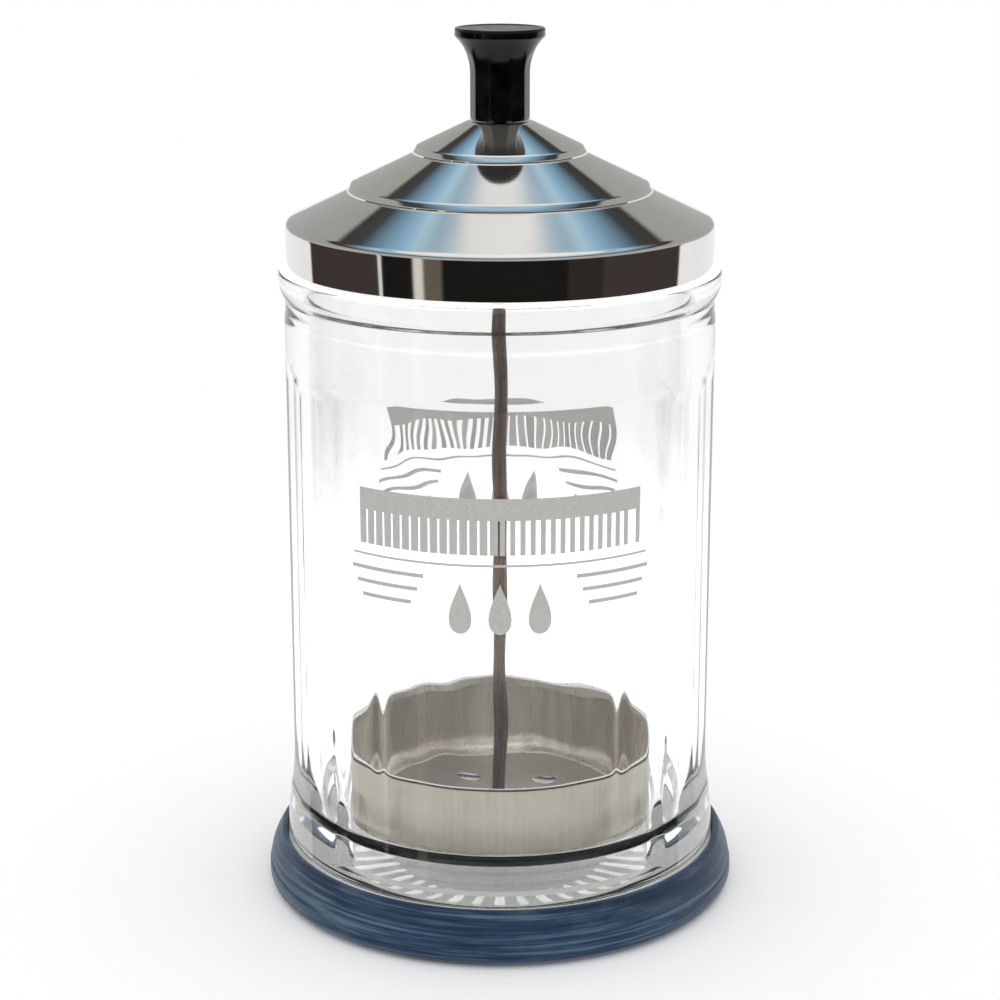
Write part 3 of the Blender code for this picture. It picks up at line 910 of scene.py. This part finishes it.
def build_knob(look):
    low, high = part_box("knob_body")
    rim = high.x
    stem = 7.1 * MM
    flare_foot = 197.0 * MM
    flare_top = 205.6 * MM
    bore = 3.5 * MM                     # for the insert
    bore_top = 198.3 * MM
    facets = 10
    blend = 90.0                        # higher gives crisper corners between the facets
    unit = 7.0 * MM                     # keeps the powers below in range

    def flare(z):
        share = np.clip((z - flare_foot) / (flare_top - flare_foot), 0.0, 1.0)
        return share**2.85

    flare_z = np.linspace(flare_foot, flare_top, 40)
    outer = [(stem + 2.65 * MM * flare(z), float(z)) for z in flare_z]
    points = [(0.0, bore_top), (bore, bore_top), (bore, low.z)]
    points += [(6.7 * MM, low.z), (stem, low.z + 0.4 * MM)]
    points += resampled([(stem, low.z + 0.4 * MM), outer[0]], 1.0 * MM)[1:] + outer[1:]
    head = rounded(
        [
            (outer[-1][0], outer[-1][1], 0.0),
            (rim, 206.3 * MM, 0.35 * MM),
            (rim, high.z, 0.6 * MM),
            (rim - 1.0 * MM, high.z, 0.5 * MM),
            (rim - 1.5 * MM, high.z - 0.22 * MM, 0.4 * MM),
            (0.0, high.z - 0.3 * MM, 0.0),
        ]
    )
    points += head[1:]

    def shape(radius, z, around):
        edge = 6.95 * MM + 4.2 * MM * flare(z)
        apothem = edge * cos(pi / facets)
        total = (unit / np.maximum(radius, 0.1 * MM)) ** blend
        for facet in range(facets):
            lean = np.cos(around + pi / 2.0 - facet * 2.0 * pi / facets)
            total += (unit * np.maximum(lean, 0.0) / apothem) ** blend
        faceted = unit * total ** (-1.0 / blend)
        outside = (radius > 6.0 * MM) & (z < flare_top + 0.1 * MM)
        return np.where(outside, faceted, radius), z

    knob = turn("knob_grip", points, facets * 24, shape=shape)
    return place(knob, "knob", "knob_body", look)


# ---------------------------------------------------------------- studio

def floor_material():
    """Pale paper that fades into the white background away from the jar."""
    look = Look("paper", (0.93, 0.93, 0.93), 0.9)
    look.set("Specular IOR Level", 0.0)
    tree = look.tree
    length = tree.nodes.new("ShaderNodeVectorMath")
    length.operation = "LENGTH"
    tree.links.new(look.place, length.inputs[0])
    fade = tree.nodes.new("ShaderNodeMapRange")
    fade.interpolation_type = "SMOOTHSTEP"
    fade.inputs["From Min"].default_value = 0.12
    fade.inputs["From Max"].default_value = 0.5
    tree.links.new(length.outputs["Value"], fade.inputs["Value"])
    clear = tree.nodes.new("ShaderNodeBsdfTransparent")
    mix = tree.nodes.new("ShaderNodeMixShader")
    tree.links.new(fade.outputs["Result"], mix.inputs[0])
    tree.links.new(look.shader.outputs[0], mix.inputs[1])
    tree.links.new(clear.outputs[0], mix.inputs[2])
    tree.links.new(mix.outputs[0], tree.nodes["Material Output"].inputs["Surface"])
    return look.material


def build_floor():
    shape = bmesh.new()
    bmesh.ops.create_circle(shape, cap_ends=True, segments=96, radius=0.6)
    mesh = bpy.data.meshes.new("floor")
    shape.to_mesh(mesh)
    shape.free()
    floor = bpy.data.objects.new("floor", mesh)
    bpy.context.scene.collection.objects.link(floor)
    floor.location.z = cad_box[0][2] - 0.05 * MM
    floor.visible_glossy = False
    mesh.materials.append(floor_material())


class Sky:
    """Node helpers for the studio that surrounds the jar."""

    def __init__(self, world):
        world.use_nodes = True
        self.tree = world.node_tree
        self.background = self.tree.nodes["Background"]
        direction = self.tree.nodes.new("ShaderNodeTexCoord").outputs["Generated"]
        split = self.tree.nodes.new("ShaderNodeSeparateXYZ")
        self.tree.links.new(direction, split.inputs[0])
        rise = self.math("ARCSINE", split.outputs["Z"])
        self.elevation = self.math("MULTIPLY", rise, 180.0 / pi)
        turn_from_back = self.math("ARCTAN2", split.outputs["X"], split.outputs["Y"])
        self.azimuth = self.math("MULTIPLY", turn_from_back, 180.0 / pi)
        self.path = self.tree.nodes.new("ShaderNodeLightPath")

    def math(self, operation, first, second=None):
        node = self.tree.nodes.new("ShaderNodeMath")
        node.operation = operation
        for socket, value in zip(node.inputs, (first, second)):
            if isinstance(value, (int, float)):
                socket.default_value = value
            elif value is not None:
                self.tree.links.new(value, socket)
        return node.outputs[0]

    def ease(self, source, start, end, low=0.0, high=1.0):
        node = self.tree.nodes.new("ShaderNodeMapRange")
        node.interpolation_type = "SMOOTHSTEP"
        node.inputs["From Min"].default_value = start
        node.inputs["From Max"].default_value = end
        node.inputs["To Min"].default_value = low
        node.inputs["To Max"].default_value = high
        self.tree.links.new(source, node.inputs["Value"])
        return node.outputs["Result"]

    def ramp(self, source, low, high, stops):
        scaled = self.tree.nodes.new("ShaderNodeMapRange")
        scaled.inputs["From Min"].default_value = low
        scaled.inputs["From Max"].default_value = high
        self.tree.links.new(source, scaled.inputs["Value"])
        node = self.tree.nodes.new("ShaderNodeValToRGB")
        elements = node.color_ramp.elements
        while len(elements) < len(stops):
            elements.new(0.5)
        for element, (value, colour) in zip(elements, stops):
            element.position = (value - low) / (high - low)
            element.color = (*colour, 1.0)
        self.tree.links.new(scaled.outputs["Result"], node.inputs["Fac"])
        return node.outputs["Color"]

    def beam(self, source, centre, full, gone, strength=1.0):
        """strength within full degrees of centre, easing to 0 at gone degrees from it."""
        away = self.math("ABSOLUTE", self.math("SUBTRACT", source, centre))
        return self.ease(away, full, gone, strength, 0.0)

    def mix(self, share, first, second):
        """The first colour where share is 0 and the second where it is 1."""
        node = self.tree.nodes.new("ShaderNodeMix")
        node.data_type = "RGBA"
        self.tree.links.new(share, node.inputs["Factor"])
        for socket, value in ((node.inputs[6], first), (node.inputs[7], second)):
            if isinstance(value, tuple):
                socket.default_value = (*value, 1.0)
            else:
                self.tree.links.new(value, socket)
        return node.outputs[2]


def build_world():
    """White studio. Mirrors also see its dark side, soft boxes and a blue panel overhead."""
    world = bpy.data.worlds.new("studio")
    bpy.context.scene.world = world
    world.cycles.sampling_method = "NONE"
    sky = Sky(world)
    white = (1.0, 1.0, 1.0)
    dark = (0.012, 0.011, 0.010)
    # What mirrors see above: colours by the degrees over eye level
    overhead = sky.ramp(
        sky.elevation,
        0.0,
        90.0,
        [
            (0.0, (0.46, 0.46, 0.455)),
            (20.0, (0.4, 0.4, 0.395)),
            (35.5, (0.37, 0.365, 0.345)),
            (37.5, (0.05, 0.045, 0.042)),
            (43.0, (0.055, 0.06, 0.063)),
            (46.0, (0.13, 0.2, 0.27)),
            (49.0, (0.2, 0.34, 0.46)),
            (52.0, (0.29, 0.48, 0.65)),
            (54.5, (0.43, 0.62, 0.75)),
            (57.5, (0.34, 0.47, 0.56)),
            (59.5, (0.47, 0.56, 0.63)),
            (61.5, (0.85, 0.84, 0.83)),
            (90.0, white),
        ],
    )
    # What mirrors see round the jar: a white screen behind it, a brown wall beside that, and boxes
    from_screen = sky.math("ABSOLUTE", sky.math("SUBTRACT", sky.azimuth, 5.0))
    screen = sky.ease(from_screen, 64.0, 67.0, 1.0, 0.0)
    below = sky.mix(screen, dark, (0.92, 0.92, 0.92))
    brown = sky.ease(from_screen, 119.0, 121.0, 1.0, 0.0)
    brown = sky.math("MULTIPLY", brown, sky.ease(from_screen, 64.0, 67.0))
    below = sky.mix(brown, below, (0.05, 0.04, 0.037))
    for centre, full, gone, strength, colour in (
        (134.0, 9.0, 11.0, 1.0, (0.03, 0.025, 0.022)),
        (-142.0, 6.0, 9.0, 1.0, (0.13, 0.11, 0.09)),
        (-136.5, 1.5, 4.0, 1.0, (0.7, 0.67, 0.6)),
        (-114.0, 0.6, 1.6, 0.7, white),
    ):
        below = sky.mix(sky.beam(sky.azimuth, centre, full, gone, strength), below, colour)
    is_above = sky.ease(sky.elevation, -1.0, 1.0)
    mirrored = sky.mix(is_above, below, overhead)
    again = sky.math("GREATER_THAN", sky.path.outputs["Glossy Depth"], 1.5)
    mirrored = sky.mix(again, mirrored, (0.9, 0.86, 0.82))

    # What is seen through the glass, and in it
    from_back = sky.math("ABSOLUTE", sky.azimuth)
    side = sky.ease(from_back, 50.0, 62.0, 1.0, 0.45)
    front = sky.ease(from_back, 90.0, 115.0, 0.0, 0.15)
    side_box = sky.beam(from_back, 90.0, 13.0, 21.0, 0.92)
    through = sky.math("MAXIMUM", sky.math("ADD", side, front), side_box)

    # Mirrored light, light seen through the glass, light that falls on dull surfaces, and the
    # background, each picked out by its kind of ray
    bounced = sky.math("GREATER_THAN", sky.path.outputs["Glossy Depth"], 0.5)
    in_glass = sky.math("LESS_THAN", sky.path.outputs["Transmission Depth"], 0.5)
    reflected = sky.math("MULTIPLY", bounced, in_glass)
    seen = sky.mix(reflected, through, mirrored)
    soft = sky.mix(is_above, (0.75, 0.75, 0.75), (1.15, 1.15, 1.15))
    filtered = sky.math("GREATER_THAN", sky.path.outputs["Transmission Depth"], 0.5)
    soft = sky.mix(filtered, soft, (1.8, 1.8, 1.8))
    lighting = sky.math("GREATER_THAN", sky.path.outputs["Diffuse Depth"], 0.5)
    seen = sky.mix(lighting, seen, soft)
    seen = sky.mix(sky.path.outputs["Is Camera Ray"], seen, white)
    sky.tree.links.new(seen, sky.background.inputs["Color"])


def build_camera():
    camera = bpy.data.objects.new("camera", bpy.data.cameras.new("camera"))
    bpy.context.scene.collection.objects.link(camera)
    camera.data.lens = CAMERA_LENS
    camera.data.sensor_width = CAMERA_SENSOR
    camera.location = (0.0, -CAMERA_DISTANCE, CAMERA_HEIGHT)
    aim = Vector((0.0, 0.0, CAMERA_AIM)) - camera.location
    camera.rotation_euler = aim.to_track_quat("-Z", "Y").to_euler()
    bpy.context.scene.camera = camera
    bpy.context.scene.view_settings.view_transform = "Standard"


# ---------------------------------------------------------------- assembly

def main():
    build_camera()
    build_world()
    build_floor()

    fasteners = brushed_look(
        "fastener_steel", (0.42, 0.42, 0.4), (0.62, 0.62, 0.6), (900, 900, 900), 0.25, 0.42
    )
    rod_steel = brushed_look(
        "drawn_steel", (0.06, 0.046, 0.036), (0.2, 0.155, 0.125), (2500, 2500, 60), 0.22, 0.38
    )
    front_ink = print_look("front_ink", (0.40, 0.40, 0.385), (0.52, 0.52, 0.5), 0.0)
    back_ink = print_look("back_ink", (0.58, 0.575, 0.55), (0.7, 0.695, 0.67), 0.6)

    # Both frosts carry a painted glow: 0.55 on the relief's crests and the lid's seat, 0.14 beneath
    # the jar and in the ring.
    build_glass(glass_look(), frost_look("frosted_relief", 0.55), frost_look("ground_base", 0.14))
    build_print("front_print", -1.0, front_ink)
    build_print("back_print", 1.0, back_ink)
    build_ring(rubber_look())
    build_lid(lid_look())
    build_rod(rod_steel)
    build_washer("lid_washer", fasteners)
    build_washer("tray_washer", fasteners)
    for node in ("lid_nut", "tray_top_nut", "tray_bottom_nut"):
        build_nut(node, fasteners)
    build_tray()
    build_knob(plastic_look())
    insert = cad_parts["knob_insert"]
    insert.data.materials.clear()
    insert.data.materials.append(brass_look())


main()
